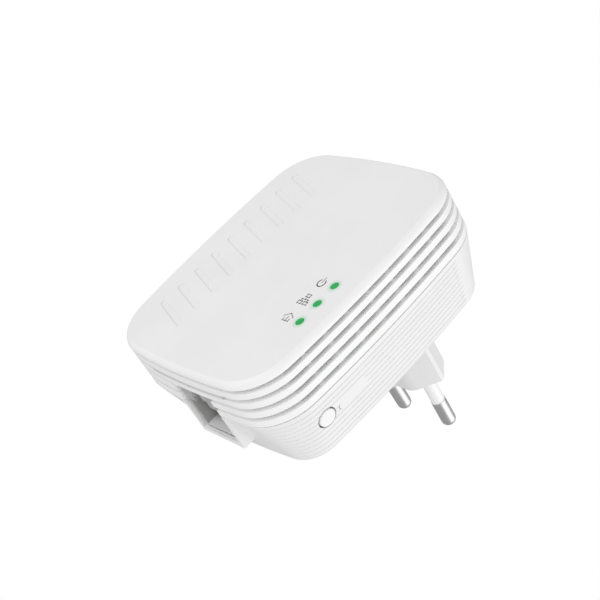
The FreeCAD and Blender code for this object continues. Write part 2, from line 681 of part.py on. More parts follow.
def build_button():
    """Cap whose face follows the housing's side, with a flange behind the wall and a stem."""
    skin = taper(PARTING_Y, -BUTTON_PROUD, BACK_Y, draft_inset(BACK_Y) - BUTTON_PROUD)
    cap = button_rod(BUTTON_R, FLANGE_X, HALF_W + OVERRUN).common(skin)
    rim = [edge for edge in cap.Edges
           if edge.BoundBox.XMax > FLANGE_X + 2 and edge.BoundBox.YLength > BUTTON_R]
    cap = cap.makeFillet(BUTTON_EDGE_R, rim)
    flange = button_rod(FLANGE_R, FLANGE_X, FLANGE_X + FLANGE_T)
    stem = button_rod(STEM_R, STEM_X, FLANGE_X + FLANGE_T)
    nodes["pairing_button"] = cap.fuse([flange, stem]).removeSplitter()


def build_switch():
    y0, y1 = BUTTON_Y - SWITCH_HALF_Y, BUTTON_Y + SWITCH_HALF_Y
    z0, z1 = BUTTON_Z - SWITCH_HALF_Z, BUTTON_Z + SWITCH_HALF_Z
    plate_x = SWITCH_X1 - SWITCH_PLATE_T
    body = box(SWITCH_X0, plate_x - SHIELD_GAP, y0, BOARD_FRONT_Y, z0, z1)
    nodes["switch_housing"] = body.cut(button_rod(SWITCH_RECESS_R, SWITCH_RECESS_X, SWITCH_X1))

    plate = box(plate_x, SWITCH_X1, y0, y1, z0 - SWITCH_LEG_T, z1 + SWITCH_LEG_T)
    plate = plate.cut(button_rod(PLUNGER_R + PLUNGER_CLEAR, SWITCH_X0, SWITCH_X1 + 1))
    leg_x = SWITCH_X0 + 2 * SWITCH_LEG_T
    legs = [box(leg_x, SWITCH_X1, y1 - 1, BOARD_FRONT_Y, z, z + SWITCH_LEG_T - SHIELD_GAP)
            for z in (z0 - SWITCH_LEG_T, z1 + SHIELD_GAP)]
    nodes["switch_frame"] = plate.fuse(legs).removeSplitter()

    plunger = button_rod(PLUNGER_R, PLUNGER_END_X, PLUNGER_TIP_X)
    foot = button_rod(PLUNGER_FOOT_R, PLUNGER_END_X, PLUNGER_END_X + PLUNGER_FOOT_T)
    nodes["switch_plunger"] = plunger.fuse(foot).removeSplitter()

    dome_centre = V(SWITCH_RECESS_X + DOME_RISE - DOME_R, BUTTON_Y, BUTTON_Z)
    dome = Part.makeSphere(DOME_R, dome_centre).cut(Part.makeSphere(DOME_R - DOME_T, dome_centre))
    nodes["switch_dome"] = dome.common(button_rod(SWITCH_RECESS_R - DOME_T, SWITCH_RECESS_X, SWITCH_X1))


# ---------------------------------------------------------------- indicator lights
def build_lights():
    """Clear light guides from the face to the board, the block that carries them, and the chips."""
    led_w, led_h, led_t = LED_SIZE
    holder_y0 = FRONT_Y + FACE_WALL + FIT
    holder_y1 = holder_y0 + HOLDER_T
    holder = box(LIGHT_X - HOLDER_HALF_W, LIGHT_X + HOLDER_HALF_W, holder_y0, holder_y1,
                 min(LIGHT_Z) - HOLDER_END, max(LIGHT_Z) + HOLDER_END)
    chips = []
    for name, z in zip(LIGHT_NAMES, LIGHT_Z):
        guide = rod_y(LIGHT_X, z, LIGHT_R, FRONT_Y, BOARD_FRONT_Y - led_t - LED_GAP)
        guide = guide.makeFillet(LIGHT_EDGE_R, edges_at_y(guide, FRONT_Y))
        collar = rod_y(LIGHT_X, z, LIGHT_R + LIGHT_COLLAR, holder_y1 + FIT, holder_y1 + 1)
        nodes["light_guide_" + name] = guide.fuse(collar).removeSplitter()
        holder = holder.cut(rod_y(LIGHT_X, z, LIGHT_R + LIGHT_FIT, holder_y0 - 1, holder_y1 + 1))
        chips.append(on_board(LIGHT_X, z, led_w, led_h, led_t))
    nodes["light_guide_holder"] = holder
    nodes["indicator_leds"] = Part.makeCompound(chips)


# ---------------------------------------------------------------- parts on the board
def on_board(x, z, size_x, size_z, height, lift=0.0):
    """Block standing on the board's front side, or lift above it."""
    y1 = BOARD_FRONT_Y - lift
    return box(x - size_x / 2, x + size_x / 2, y1 - height, y1, z - size_z / 2, z + size_z / 2)


def post(x, z, radius, height, lift=0.0):
    """Round post standing on the board's front side, or lift above it."""
    y1 = BOARD_FRONT_Y - lift
    return rod_y(x, z, radius, y1 - height, y1)


def with_legs(x, z, size_x, size_z, height, per_side, pitch):
    """Chip with gull-wing legs along its two upright sides."""
    chip = on_board(x, z, size_x, size_z, height, LEG_LIFT)
    legs = []
    for index in range(per_side):
        leg_z = z + (index - (per_side - 1) / 2) * pitch
        for side_x in (x - size_x / 2, x + size_x / 2):
            legs.append(on_board(side_x, leg_z, LEG_REACH, pitch * 0.4, LEG_T))
    return chip.fuse(legs).removeSplitter()


def standing_can(x, z, radius, height):
    """Upright electrolytic capacitor with a grooved foot."""
    start, end, depth = CAN_GROOVE
    can = post(x, z, radius, height)
    can = can.makeFillet(CAN_EDGE_R, edges_at_y(can, BOARD_FRONT_Y - height))
    groove = post(x, z, radius + 1, end - start, start).cut(post(x, z, radius - depth, height))
    return can.cut(groove)


def wire_pair(centres):
    """Two wires from the board into a disc."""
    return [post(x, z, DISC_WIRE_R, height) for x, z, height in centres]


def build_power_parts():
    nodes["bulk_capacitors"] = Part.makeCompound([standing_can(*can) for can in BULK_CAPACITORS])
    nodes["output_capacitor"] = standing_can(*OUTPUT_CAPACITOR)
    film = on_board(*X_CAPACITOR)
    nodes["x_capacitor"] = film.makeFillet(CAN_EDGE_R, edges_at_y(film, BOARD_FRONT_Y - X_CAPACITOR[-1]))
    nodes["fuse"] = post(*FUSE)
    nodes["bridge_rectifier"] = with_legs(*BRIDGE_RECTIFIER)
    nodes["power_controller"] = with_legs(*POWER_CONTROLLER)

    x, height, z, radius, thickness = Y_CAPACITOR
    disc = rod_x(BOARD_FRONT_Y - height, z, radius, x - thickness / 2, x + thickness / 2)
    wires = wire_pair([(x, z + dz, height) for dz in (-DISC_WIRE_HALF, DISC_WIRE_HALF)])
    nodes["y_capacitor"] = disc.fuse(wires).removeSplitter()

    x, height, z, radius, thickness = VARISTOR
    disc = Part.makeCylinder(radius, thickness, V(x, BOARD_FRONT_Y - height, z - thickness / 2), Z_DIR)
    wires = wire_pair([(x + dx, z, height) for dx in (-DISC_WIRE_HALF, DISC_WIRE_HALF)])
    nodes["varistor"] = disc.fuse(wires).removeSplitter()


def build_choke():
    """Wound choke: a spool of ferrite with a coil round its waist."""
    x, z, radius, height = CHOKE
    waist_h = height - 2 * CHOKE_RIM
    gap = post(x, z, radius + 1, waist_h, CHOKE_RIM).cut(post(x, z, CHOKE_WAIST_R, height))
    nodes["choke_core"] = post(x, z, radius, height).cut(gap)
    coil = post(x, z, CHOKE_COIL_R, waist_h - 2 * FIT, CHOKE_RIM + FIT)
    nodes["choke_winding"] = coil.cut(post(x, z, CHOKE_WAIST_R + FIT, height))


def transformer_block(width, depth, height, lift=0.0):
    return on_board(TRANSFORMER_X, TRANSFORMER_Z, width, depth, height, lift)


def build_transformer():
    """Core with a middle limb, standing over a bobbin that carries the winding."""
    core_h = TRANSFORMER_H - BOBBIN_BASE_T - 2 * LIMB_GAP
    core_lift = BOBBIN_BASE_T + LIMB_GAP
    window_h = core_h - 2 * CORE_BAR
    window = transformer_block(TRANSFORMER_W - 2 * CORE_SIDE, LIMB + 2, window_h, core_lift + CORE_BAR)
    limb = transformer_block(LIMB, LIMB, core_h, core_lift)
    core = transformer_block(TRANSFORMER_W, LIMB, core_h, core_lift).cut(window).fuse(limb)
    nodes["transformer_core"] = core.removeSplitter()

    tube_lift = core_lift + CORE_BAR + LIMB_GAP
    tube_h = window_h - 2 * LIMB_GAP
    rim_lift = tube_lift + tube_h - BOBBIN_RIM_T
    bore = transformer_block(LIMB + 2 * LIMB_GAP, LIMB + 2 * LIMB_GAP, TRANSFORMER_H)
    tube = transformer_block(BOBBIN_TUBE, BOBBIN_TUBE, tube_h, tube_lift)
    rims = [transformer_block(BOBBIN_RIM_W, TRANSFORMER_D, BOBBIN_RIM_T, lift)
            for lift in (tube_lift, rim_lift)]
    spool = tube.fuse(rims).cut(bore)
    base = transformer_block(TRANSFORMER_W, TRANSFORMER_D, BOBBIN_BASE_T)
    cheek_d = (TRANSFORMER_D - LIMB) / 2 - LIMB_GAP
    cheeks = []
    for sign in (-1, 1):
        cheek_z = TRANSFORMER_Z + sign * (TRANSFORMER_D - cheek_d) / 2
        cheeks.append(on_board(TRANSFORMER_X, cheek_z, BOBBIN_RIM_W, cheek_d, tube_lift + BOBBIN_RIM_T))
    nodes["transformer_bobbin"] = base.fuse(cheeks + [spool]).removeSplitter()

    winding_lift = tube_lift + BOBBIN_RIM_T + LIMB_GAP
    winding = transformer_block(WINDING_W, WINDING_D, rim_lift - LIMB_GAP - winding_lift, winding_lift)
    nodes["transformer_winding"] = winding.cut(
        transformer_block(BOBBIN_TUBE + 2 * LIMB_GAP, BOBBIN_TUBE + 2 * LIMB_GAP, TRANSFORMER_H))


def build_logic_parts():
    nodes["powerline_chip"] = on_board(*POWERLINE_CHIP)
    pad_lift = POWERLINE_CHIP[-1]
    nodes["thermal_pad"] = on_board(*THERMAL_PAD, pad_lift)
    sink_lift = pad_lift + THERMAL_PAD[-1]
    x, z, width, depth, _ = SINK_BASE
    fin_step = (width - SINK_FIN_T) / (SINK_FINS - 1)
    fin_x0 = x - (width - SINK_FIN_T) / 2
    fins = [on_board(fin_x0 + index * fin_step, z, SINK_FIN_T, depth, SINK_FIN_H, sink_lift)
            for index in range(SINK_FINS)]
    nodes["heat_sink"] = on_board(*SINK_BASE, sink_lift).fuse(fins).removeSplitter()
    nodes["memory_chip"] = on_board(*MEMORY_CHIP)
    nodes["flash_chip"] = with_legs(*FLASH_CHIP)
    nodes["crystal"] = on_board(*CRYSTAL)
    nodes["ethernet_chip"] = on_board(*ETHERNET_CHIP)
    nodes["ethernet_transformer"] = with_legs(*ETHERNET_TRANSFORMER)
    coupling = on_board(*COUPLING)
    nodes["coupling_transformer"] = coupling.makeChamfer(
        COUPLING_CHAMFER, edges_at_y(coupling, BOARD_FRONT_Y - COUPLING[-1]))


def main():
    build_cover()
    build_rear_housing()
    build_plug_base()
    build_pin(-1, "left")
    build_pin(1, "right")
    build_pin_springs()
    build_board()
    build_screws()
    build_jack()
    build_button()
    build_switch()
    build_lights()
    build_power_parts()
    build_choke()
    build_transformer()
    build_logic_parts()
    os.makedirs("parts", exist_ok=True)
    for name, shape in nodes.items():
        shape.exportStep(os.path.join("parts", name + ".step"))
        print(name, len(shape.Solids), round(shape.Volume, 1), shape.isValid())


main()
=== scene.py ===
"""Looks of the powerline adapter: finer shells, printed symbols, materials, studio and camera."""

import math

import bmesh
import bpy
from mathutils import Matrix, Quaternion, Vector


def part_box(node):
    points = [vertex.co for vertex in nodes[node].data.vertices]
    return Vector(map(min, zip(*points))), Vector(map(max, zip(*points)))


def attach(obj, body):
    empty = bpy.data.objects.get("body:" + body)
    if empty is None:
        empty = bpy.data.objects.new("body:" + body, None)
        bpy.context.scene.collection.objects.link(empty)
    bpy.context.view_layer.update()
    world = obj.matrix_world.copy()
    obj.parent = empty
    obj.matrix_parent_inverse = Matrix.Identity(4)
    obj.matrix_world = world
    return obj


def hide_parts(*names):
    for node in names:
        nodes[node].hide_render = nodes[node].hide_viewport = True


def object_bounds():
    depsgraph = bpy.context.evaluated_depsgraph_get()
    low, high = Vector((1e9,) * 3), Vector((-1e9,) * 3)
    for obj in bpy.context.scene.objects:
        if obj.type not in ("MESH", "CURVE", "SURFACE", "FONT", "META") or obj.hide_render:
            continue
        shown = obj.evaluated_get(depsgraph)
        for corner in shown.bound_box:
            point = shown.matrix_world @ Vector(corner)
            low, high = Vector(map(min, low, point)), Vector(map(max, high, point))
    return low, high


MM = 0.001

# ---- camera ----
EYE = Vector((257.2, -211.0, -130.1)) * MM
AIM = Vector((-18.2, -24.5, -6.05)) * MM
CAMERA_ROLL = 44.6
LENS = 81.5
SENSOR = 36.0

# ---- studio ----
FLOOR_Z = -0.26
FLOOR_SIZE = 60.0
AMBIENT = 0.82
REFLECTED = 0.36
# name, place, size, power in watts
SOFTBOXES = [
    ("key_right", (0.85, 0.60, 0.25), 1.10, 4.8),
    ("under_front", (0.15, -0.75, -0.60), 0.70, 2.0),
]

# ---- outline of the housing, in millimetres ----
HALF_W = 31.9
HALF_H = 37.8
CENTRE_Z = -13.0
SIDE_BOW_R = 341.0
END_BOW_R = 237.0
CORNER_R = 13.0
PARTING_Y = -35.5
SEAM = 0.22
DRAFT = 0.285
FRONT_EDGE_R = 2.15
FRONT_EDGE_BREAK = 30      # degrees between the face and the start of its rounded edge
BACK_EDGE_R = 2.5
COVER_WALL = 2.2
FACE_WALL = 2.2
REAR_WALL = 2.4
BACK_WALL = 2.2
RIM_EDGE_R = 0.15
OUTLINE_STEP = 0.8
CORNER_STEPS = 28
BOTTOM_END = 6             # number of the bottom end's arc in the list that arcs() gives

# ---- locating lip ----
LIP_INSET = 2.3
LIP_T = 0.9
LIP_HEIGHT = 1.7
LIP_ROOT = 2.0

# ---- vent grooves ----
GROOVE_Y = [-46.75, -43.9, -40.97, -38.05]
GROOVE_W = 1.2
GROOVE_DEPTH = 1.5
GROOVE_EDGE_R = 0.12
GROOVE_WITH_GAP = 1        # the second groove from the face stops beside the port
GROOVE_GAP_HALF = 14.9
VENT_PITCH = 7.0
VENT_LENGTH = 5.7
VENTS_PER_SIDE = 8
STEP_WIDTH = 0.06

# ---- slanted bars ----
BAR_COUNT = 9
BAR_PITCH = 6.1
BAR_W = 1.9
BAR_LENGTH = 13.0
BAR_DEPTH = 0.3
BAR_SLANT = 18.0
BAR_X = -17.0

# ---- ribs ----
RIB_COUNT = 10
RIB_FIRST_Y = -33.76
RIB_PITCH = 1.453
RIB_W = 0.44
RIB_DEPTH = 0.21
RIB_TOP_Z = 12.3
RIB_BOTTOM_X = 23.1
RIB_BOTTOM_LEAN = 0.12
RIB_FADE = 1.6
RIB_HALF_STEPS = 3
STRIP_RIBS = (3, 4)        # ribs left out on a smooth strip above the button
STRIP_TOP_Z = -24.2

# ---- port, button, screws, plug and lights ----
JACK_X = 1.0
OPENING_HALF_W = 7.5
OPENING_FRONT_Y = -41.0
OPENING_REAR_Y = -26.4
SHROUD_HALF_W = 8.7
SHROUD_REAR_Y = -24.9
RIM_Z = -50.75
SHROUD_INNER_Z = -46.5
JACK_FACE_Z = -50.1
# painted shade inside the jack: it starts at the first depth past the jack's face and is full at the
# second
JACK_SHADE_START_DEPTH = 1.5
JACK_SHADE_FULL_DEPTH = 5.5
MOUTH_REAR_Y = -27.05
BUTTON_Y = -28.8
BUTTON_Z = -37.0
BUTTON_HOLE_R = 2.68
BUTTON_HOLE_START_X = 24
HOUSING_SCREWS = [(-19.5, 13.0), (19.5, 13.0), (-15.5, -41.0), (15.5, -41.0)]
BOSS_R = 3.6
BOSS_END_Y = -33.0
COUNTERBORE_R = 2.6
COUNTERBORE_Y = -30.0
SCREW_CLEAR_R = 1.4
PLUG_HALF_W = 17.45
PLUG_HALF_H = 6.95
PLUG_SHOULDER_X = 11.4
PLUG_TIP_HALF = 0.5
PLUG_SHOULDER_R = 4.5
LIGHT_X = 24.6
LIGHT_Z = [-16.25, -22.2, -28.15]
LIGHT_HOLE_R = 1.14

# ---- printed symbols ----
INK_T = 0.03
INK_W = 0.27
ICON_X = 20.1
PAIRING_Y = -28.3
PAIRING_Z = -32.9
PAIRING_W = 0.2
CABLE_X = 0.7
CABLE_Y = -43.8
CABLE_W = 0.25

# ---- shell building ----
OVERSHOOT = 1.0            # how far a cutter goes past the wall that it cuts
CUTTER_REACH = 5.0         # how far the larger cutters go past the outside
EDGE_MARGIN = 0.05         # flat strip beside a rounded edge, which keeps its shading to itself
CAP_MARGIN = 0.3
SHARP_ANGLE = 28           # degrees: a sharper edge isn't smoothed
LIP_STEPS = 4
FRONT_EDGE_STEPS = 10
BACK_EDGE_STEPS = 12
BAR_END_STEPS = 12

# ---- materials ----
NOISE_LOW = 0.35
NOISE_HIGH = 0.65
COLOUR_DRIFT = 0.012       # share by which a moulded colour gets lighter and darker
DRIFT_SCALE = 60           # cycles per metre
GLOSS_SCALE = 240
GRAIN_SCALE = 2600
GRAIN_HEIGHT = 0.004       # millimetres
COVER_GLOSS = (0.38, 0.46)
JACK_COLOUR = (0.44, 0.44, 0.44)
# painted light: the mouth's rear wall made nearly white
JACK_PAINTED_LIGHT_REAR_COLOUR = (0.84, 0.84, 0.84)
# painted shade: the jack's colour deep inside
JACK_PAINTED_SHADE_COLOUR = (0.16, 0.16, 0.16)
JACK_GLOSS = (0.40, 0.50)
# where the painted light on the mouth's rear wall begins and is full, in millimetres in front of that
# wall
JACK_REAR_START = 0.3
JACK_REAR_END = 0.1
BOARD_DARK = (0.008, 0.040, 0.022)
BOARD_LIGHT = (0.014, 0.070, 0.036)

# ---- cover's painted glow and painted shade ----
COVER_COLOUR = (0.87, 0.87, 0.87)
# painted glow round the light guides: how far past each hole it reaches, its strength and its green
PAINTED_GLOW_REACH = 1.3
PAINTED_GLOW_PEAK = 0.62
PAINTED_GLOW_COLOUR = (0.20, 0.66, 0.32)
# painted shade in the bottom end's vent grooves: its colour, the heights it fades in over, and its soft
# edge
PAINTED_SHADE_COLOUR = (0.62, 0.62, 0.62)
SHADE_START_Z = -36.0
SHADE_END_Z = -42.0
SHADE_EDGE = 0.1

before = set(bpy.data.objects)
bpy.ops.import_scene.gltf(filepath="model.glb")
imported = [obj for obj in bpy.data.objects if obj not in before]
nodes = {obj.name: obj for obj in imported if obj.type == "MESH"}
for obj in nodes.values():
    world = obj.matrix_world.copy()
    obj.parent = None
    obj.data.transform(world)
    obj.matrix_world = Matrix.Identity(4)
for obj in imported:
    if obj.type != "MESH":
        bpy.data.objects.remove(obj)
cad_low, cad_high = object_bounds()
FRONT_Y = cad_low.y / MM
BACK_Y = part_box("rear_housing")[1].y / MM


# ---------------------------------------------------------------- outline
def corner_centre():
    """Centre of the upper right corner arc, tangent inside the side arc and the end arc."""
    side_cx = HALF_W - SIDE_BOW_R
    end_cz = HALF_H - END_BOW_R
    side_reach = SIDE_BOW_R - CORNER_R
    end_reach = END_BOW_R - CORNER_R
    gap = math.hypot(side_cx, end_cz)
    along = (side_reach ** 2 - end_reach ** 2 + gap ** 2) / (2 * gap)
    across = math.sqrt(side_reach ** 2 - along ** 2)
    ux = -side_cx / gap
    uz = end_cz / gap
    return side_cx + along * ux - across * uz, along * uz + across * ux


def draft_inset(y):
    """How far the sloping wall has come in at a depth."""
    return DRAFT * (y - PARTING_Y)


def arcs():
    """The outline's eight arcs, from the lower right round: centre x, z, radius, start and end angle."""
    cx, cz = corner_centre()
    side_cx = HALF_W - SIDE_BOW_R
    end_cz = HALF_H - END_BOW_R
    side = math.atan2(cz, cx - side_cx)
    end = math.atan2(cz - end_cz, cx)
    half = math.pi
    return [
        (side_cx, 0, SIDE_BOW_R, -side, side),
        (cx, cz, CORNER_R, side, end),
        (0, end_cz, END_BOW_R, end, half - end),
        (-cx, cz, CORNER_R, half - end, half - side),
        (-side_cx, 0, SIDE_BOW_R, half - side, half + side),
        (-cx, -cz, CORNER_R, half + side, half + end),
        (0, -end_cz, END_BOW_R, half + end, 2 * half - end),
        (cx, -cz, CORNER_R, 2 * half - end, 2 * half - side),
    ]


def outline_point(arc, share, inset):
    """X and Z of a place on an arc, moved inwards by the inset."""
    cx, cz, radius, start, end = arc
    angle = start + (end - start) * share
    reach = radius - inset
    return cx + reach * math.cos(angle), CENTRE_Z + cz + reach * math.sin(angle)


def shares_at_height(arc, z):
    """Shares of an arc at which the outline is at a height from the housing's middle."""
    _, cz, radius, start, end = arc
    if abs(z - cz) > radius:
        return []
    lift = math.asin((z - cz) / radius)
    angles = (lift, math.pi - lift, 2 * math.pi + lift)
    return [(angle - start) / (end - start) for angle in angles if start < angle < end]


def stations(extra_z=(), extra_x=()):
    """Places round the outline as (arc number, share of the arc), with extra ones where slots end."""
    places = []
    for number, arc in enumerate(arcs()):
        _, _, radius, start, end = arc
        length = radius * (end - start)
        count = CORNER_STEPS if radius == CORNER_R else math.ceil(length / OUTLINE_STEP)
        shares = [i / count for i in range(count)]
        for z in extra_z:
            shares += shares_at_height(arc, z)
        if number == BOTTOM_END:
            shares += [0.5 + math.asin(x / radius) / (end - start) for x in extra_x]
        places += [(number, share) for share in sorted(shares)]
    return places


def arc_rows(centre_y, centre_inset, radius, start, end, steps):
    """Rows along a rounded edge: angles are measured from +Y towards a larger inset."""
    rows = []
    for step in range(steps + 1):
        angle = math.radians(start + (end - start) * step / steps)
        rows.append((centre_y + radius * math.cos(angle), centre_inset + radius * math.sin(angle)))
    return rows


def sweep(name, rows, places, keep_cell):
    """Closed skin through rows of (y, inset or a function of the place), capped at both ends."""
    mesh = bmesh.new()
    ring_arcs = arcs()
    grid = []
    for y, inset in rows:
        ring = []
        for number, share in places:
            depth = inset(number, share) if callable(inset) else inset
            x, z = outline_point(ring_arcs[number], share, depth)
            ring.append(mesh.verts.new((x * MM, y * MM, z * MM)))
        grid.append(ring)
    count = len(places)
    for row in range(len(rows) - 1):
        for column in range(count):
            after = (column + 1) % count
            if keep_cell(row, column, after):
                mesh.faces.new((grid[row][column], grid[row + 1][column],
                                grid[row + 1][after], grid[row][after]))
    mesh.faces.new(grid[0])
    mesh.faces.new(list(reversed(grid[-1])))
    bmesh.ops.remove_doubles(mesh, verts=mesh.verts, dist=1e-7)
    bmesh.ops.recalc_face_normals(mesh, faces=mesh.faces)
    return as_object(mesh, name)


def as_object(mesh, name):
    data = bpy.data.meshes.new(name)
    mesh.to_mesh(data)
    mesh.free()
    piece = bpy.data.objects.new(name, data)
    bpy.context.scene.collection.objects.link(piece)
    return piece


# ---------------------------------------------------------------- solid cutters
def joined(meshes, name):
    whole = bmesh.new()
    for mesh in meshes:
        data = bpy.data.meshes.new("part")
        mesh.to_mesh(data)
        mesh.free()
        whole.from_mesh(data)
        bpy.data.meshes.remove(data)
    return as_object(whole, name)


def block(x0, x1, y0, y1, z0, z1):
    mesh = bmesh.new()
    bmesh.ops.create_cube(mesh, size=1.0)
    size = Matrix.Diagonal(((x1 - x0) * MM, (y1 - y0) * MM, (z1 - z0) * MM, 1))
    place = Matrix.Translation(Vector(((x0 + x1) / 2, (y0 + y1) / 2, (z0 + z1) / 2)) * MM)
    bmesh.ops.transform(mesh, matrix=place @ size, verts=mesh.verts)
    return mesh


def prism(points, y0, y1):
    """Straight block along Y over a closed line of (x, z) points."""
    mesh = bmesh.new()
    front = [mesh.verts.new((x * MM, y0 * MM, z * MM)) for x, z in points]
    back = [mesh.verts.new((x * MM, y1 * MM, z * MM)) for x, z in points]
    mesh.faces.new(front)
    mesh.faces.new(list(reversed(back)))
    for i in range(len(points)):
        j = (i + 1) % len(points)
        mesh.faces.new((front[j], front[i], back[i], back[j]))
    bmesh.ops.recalc_face_normals(mesh, faces=mesh.faces)
    return mesh


def circle(x, z, radius, count=64):
    turns = [2 * math.pi * i / count for i in range(count)]
    return [(x + radius * math.cos(t), z + radius * math.sin(t)) for t in turns]


def rod_y(x, z, radius, y0, y1):
    return prism(circle(x, z, radius), y0, y1)


def rod_x(y, z, radius, x0, x1):
    """Rod along X: a rod along Y turned about Z."""
    mesh = prism(circle(0, z, radius, 96), -x1, -x0)
    turn = Matrix.Translation((0, y * MM, 0)) @ Matrix.Rotation(math.radians(90), 4, "Z")
    bmesh.ops.transform(mesh, matrix=turn, verts=mesh.verts)
    return mesh


def bar_outline(index):
    """Rounded bar of the face's decoration, slanted about its middle."""
    slant = math.radians(BAR_SLANT)
    mid_z = CENTRE_Z + (index - (BAR_COUNT - 1) / 2) * BAR_PITCH
    points = []
    for side in (1, -1):
        for step in range(BAR_END_STEPS + 1):
            angle = math.pi * (step / BAR_END_STEPS - side / 2)
            x = side * BAR_LENGTH / 2 + BAR_W / 2 * math.cos(angle)
            z = BAR_W / 2 * math.sin(angle)
            points.append((BAR_X + x * math.cos(slant) + z * math.sin(slant),
                           mid_z - x * math.sin(slant) + z * math.cos(slant)))
    return points


def rounded_corner(before, corner, after, radius, steps=10):
    """Arc that replaces a corner between two straight edges."""
    to_before = (Vector(before) - Vector(corner)).normalized()
    to_after = (Vector(after) - Vector(corner)).normalized()
    half = to_before.angle(to_after) / 2
    centre = Vector(corner) + (to_before + to_after).normalized() * radius / math.sin(half)
    start = Vector(corner) + to_before * radius / math.tan(half) - centre
    end = Vector(corner) + to_after * radius / math.tan(half) - centre
    arc = []
    for step in range(steps + 1):
        direction = start.lerp(end, step / steps).normalized()
        arc.append(tuple(centre + direction * radius))
    return arc


def plug_outline():
    w, h, sx, t = PLUG_HALF_W, PLUG_HALF_H, PLUG_SHOULDER_X, PLUG_TIP_HALF
    points = []
    for sign in (1, -1):
        points += rounded_corner((-sign * sx, -sign * h), (sign * sx, -sign * h), (sign * w, -sign * t),
                                 PLUG_SHOULDER_R)
        points += [(sign * w, -sign * t), (sign * w, sign * t)]
        points += rounded_corner((sign * w, sign * t), (sign * sx, sign * h), (-sign * sx, sign * h),
                                 PLUG_SHOULDER_R)
    return points


def combine(piece, tool, operation):
    """Joins the tool to the piece or cuts it out, for good."""
    change = piece.modifiers.new(operation, "BOOLEAN")
    change.operation = operation
    change.solver = "EXACT"
    change.object = tool
    bpy.context.view_layer.update()
    result = bpy.data.meshes.new_from_object(piece.evaluated_get(bpy.context.evaluated_depsgraph_get()))
    piece.modifiers.clear()
    piece.data = result
    bpy.data.objects.remove(tool)


def finish_piece(piece, node, look):
    """Smooth shading with crisp edges, then the piece stands for its CAD node."""
    piece.data.shade_smooth()
    piece.data.set_sharp_from_angle(angle=math.radians(SHARP_ANGLE))
    piece.data.materials.clear()
    piece.data.materials.append(materials[look])
    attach(piece, "adapter")
    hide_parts(node)


# ---------------------------------------------------------------- front cover
def in_vent(number, share):
    """True where a slot goes right through the groove's floor."""
    _, z = outline_point(arcs()[number], share, 0)
    height = abs(z - CENTRE_Z)
    from_slot_middle = abs(height % VENT_PITCH - VENT_PITCH / 2)
    return height < VENT_PITCH * VENTS_PER_SIDE / 2 and from_slot_middle < VENT_LENGTH / 2


def in_gap(number, share):
    """True beside the port, where one groove stops."""
    if number != BOTTOM_END:
        return False
    x, _ = outline_point(arcs()[number], share, 0)
    return abs(x - JACK_X) < GROOVE_GAP_HALF


def vent_edges():
    """Heights just inside and outside both ends of each slot, from the housing's middle."""
    edges = []
    for slot in range(VENTS_PER_SIDE):
        middle = (slot - (VENTS_PER_SIDE - 1) / 2) * VENT_PITCH
        for end in (middle - VENT_LENGTH / 2, middle + VENT_LENGTH / 2):
            edges += [end - STEP_WIDTH / 2, end + STEP_WIDTH / 2]
    return edges


def groove_depth(index):
    """Depth of a groove as a function of the place round the outline."""
    def depth(number, share):
        if index == GROOVE_WITH_GAP and in_gap(number, share):
            return 0.0
        return COVER_WALL if in_vent(number, share) else GROOVE_DEPTH
    return depth


def capped(inset, depth):
    """Inset that never goes deeper than the groove beside it."""
    return lambda number, share: min(inset, depth(number, share))


def cover_rows():
    """Rows from the face round to the inside, and the numbers of the rows that slots start at."""
    r = FRONT_EDGE_R
    edge_y = FRONT_Y + r * math.cos(math.radians(FRONT_EDGE_BREAK))
    rows = [(FRONT_Y, r)] + arc_rows(edge_y, r, r, 180 + FRONT_EDGE_BREAK, 270, FRONT_EDGE_STEPS)
    rows.append((edge_y + EDGE_MARGIN, 0))
    slots = []
    for index, y in enumerate(GROOVE_Y):
        depth = groove_depth(index)
        half, edge = GROOVE_W / 2, GROOVE_EDGE_R
        rows.append((y - half - edge - EDGE_MARGIN, 0))
        for row_y, inset in arc_rows(y - half - edge, edge, edge, 270, 360, LIP_STEPS):
            rows.append((row_y, capped(inset, depth)))
        slots.append(len(rows))
        rows.append((y - half, depth))
        rows.append((y + half, depth))
        for row_y, inset in arc_rows(y + half + edge, edge, edge, 180, 270, LIP_STEPS):
            rows.append((row_y, capped(inset, depth)))
        rows.append((y + half + edge + EDGE_MARGIN, 0))
    rear = PARTING_Y - SEAM / 2
    rows.append((rear - RIM_EDGE_R - EDGE_MARGIN, 0))
    rows += arc_rows(rear - RIM_EDGE_R, RIM_EDGE_R, RIM_EDGE_R, 270, 360, LIP_STEPS)
    rows += [(rear, RIM_EDGE_R + EDGE_MARGIN), (rear, COVER_WALL)]
    for y in reversed(GROOVE_Y):
        slots.append(len(rows))
        rows += [(y + GROOVE_W / 2, COVER_WALL), (y - GROOVE_W / 2, COVER_WALL)]
    rows.append((FRONT_Y + FACE_WALL, COVER_WALL))
    return rows, slots


def gap_edges():
    """X just inside and outside both ends of the groove that stops beside the port."""
    ends = [JACK_X - GROOVE_GAP_HALF, JACK_X + GROOVE_GAP_HALF]
    return [end + side * STEP_WIDTH / 2 for end in ends for side in (-1, 1)]


def port_cutter():
    return block(JACK_X - OPENING_HALF_W, JACK_X + OPENING_HALF_W, OPENING_FRONT_Y, OPENING_REAR_Y,
                 RIM_Z - CUTTER_REACH, SHROUD_INNER_Z + CUTTER_REACH)


